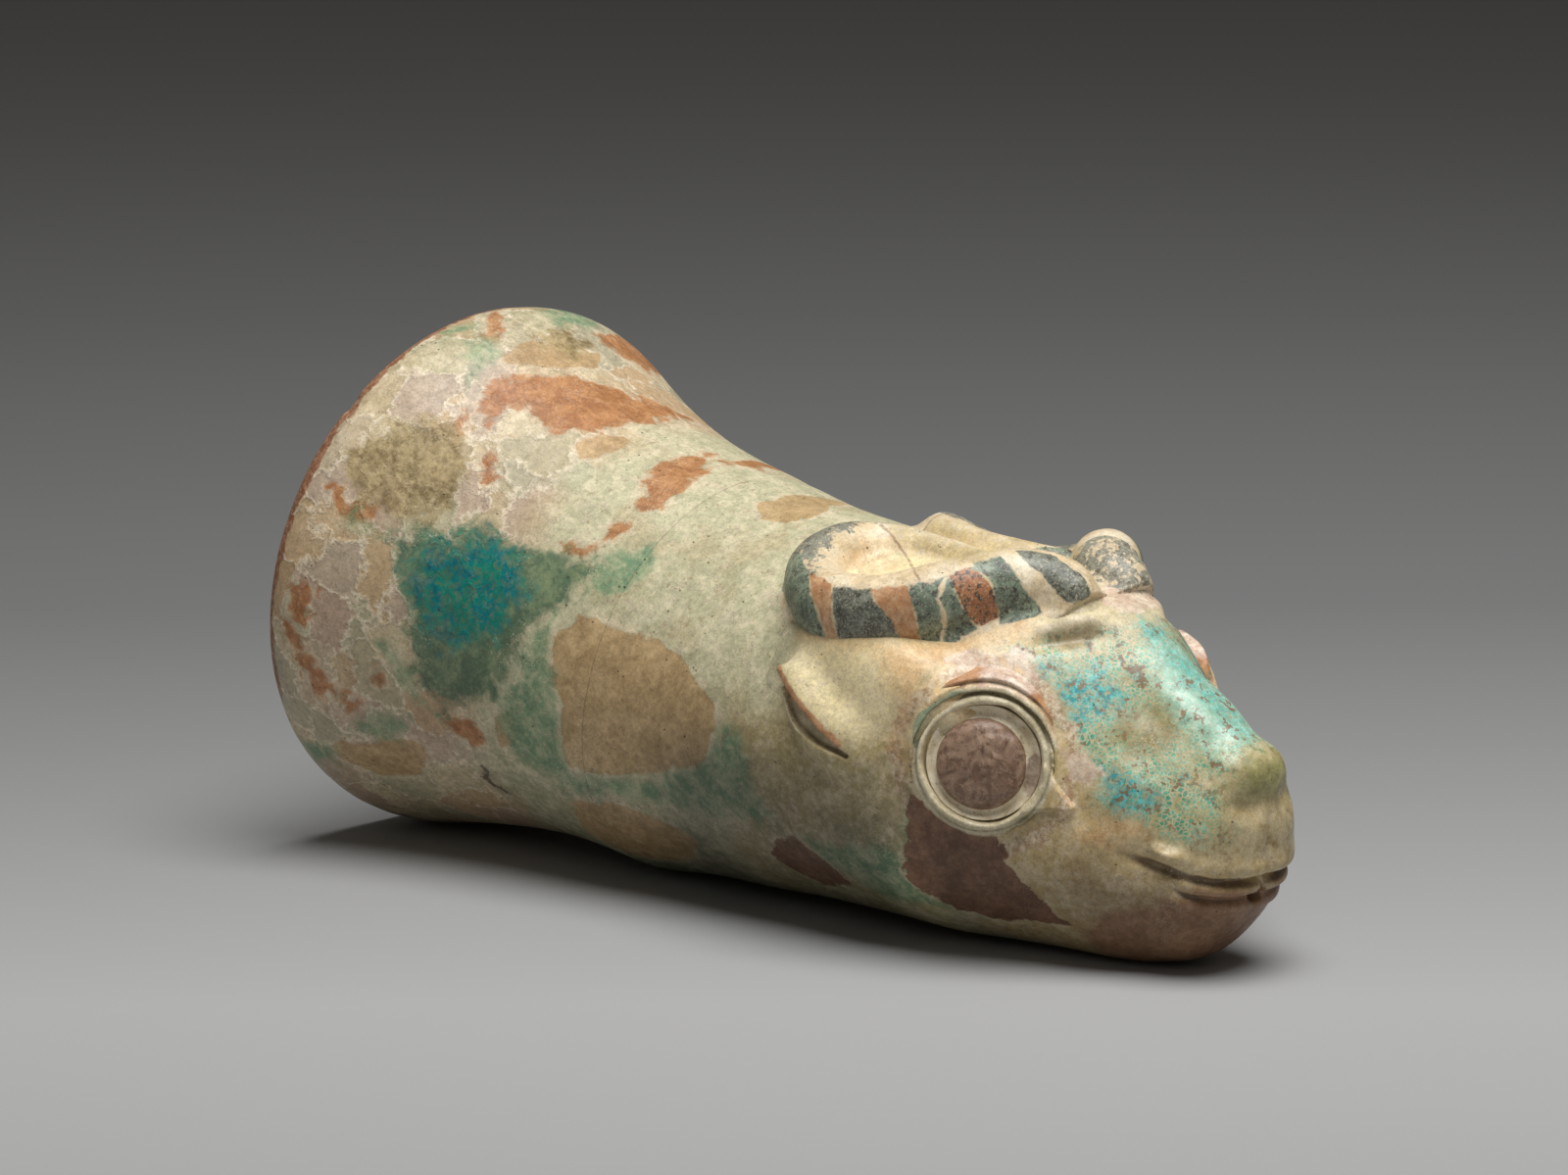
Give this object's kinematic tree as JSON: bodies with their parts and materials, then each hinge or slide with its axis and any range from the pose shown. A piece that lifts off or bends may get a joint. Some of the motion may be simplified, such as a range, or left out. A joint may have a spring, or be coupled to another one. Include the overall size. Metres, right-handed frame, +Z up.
{
  "type": "rhyton drinking cup",
  "caption": "Glazed clay drinking horn lying on its side: flared round mouth, hollow neck and a modelled animal head with curled horns, ears and large round eyes, pierced at the lip to pour.",
  "frame": {"origin": "on the plane the cup lies on, midway between the ends of its bounding box, on the animal's middle plane", "axes": "+X from the drinking mouth to the muzzle, along the resting plane; +Y to the animal's left; +Z up, from the resting plane to the horns. The cup's own axis dips 11.3 degrees towards the muzzle"},
  "size_m": [0.229, 0.1124, 0.1104],
  "materials": {
    "cup_glaze": "satin, worn cream glaze with turquoise and brown patches",
    "head_glaze": "satin, worn cream and turquoise glaze",
    "horn_glaze": "satin, banded dark blue-grey and cream glaze",
    "ear_glaze": "satin, orange-brown glaze",
    "lid_glaze": "satin, pink and orange-brown glaze",
    "ring_glaze": "satin, worn cream glaze",
    "eye_white": "satin, pale cream glaze",
    "iris_glaze": "satin, reddish-brown glaze"
  },
  "bodies": {
    "root": {"cup_body": "cup_glaze", "head": "head_glaze", "horn_right": "horn_glaze", "horn_left": "horn_glaze", "ear_right": "ear_glaze", "ear_left": "ear_glaze", "upper_lid_right": "lid_glaze", "upper_lid_left": "lid_glaze", "eye_ring_right": "ring_glaze", "eye_ring_left": "ring_glaze", "eyeball_right": "eye_white", "eyeball_left": "eye_white", "iris_right": "iris_glaze", "iris_left": "iris_glaze"}
  },
  "joints": []
}
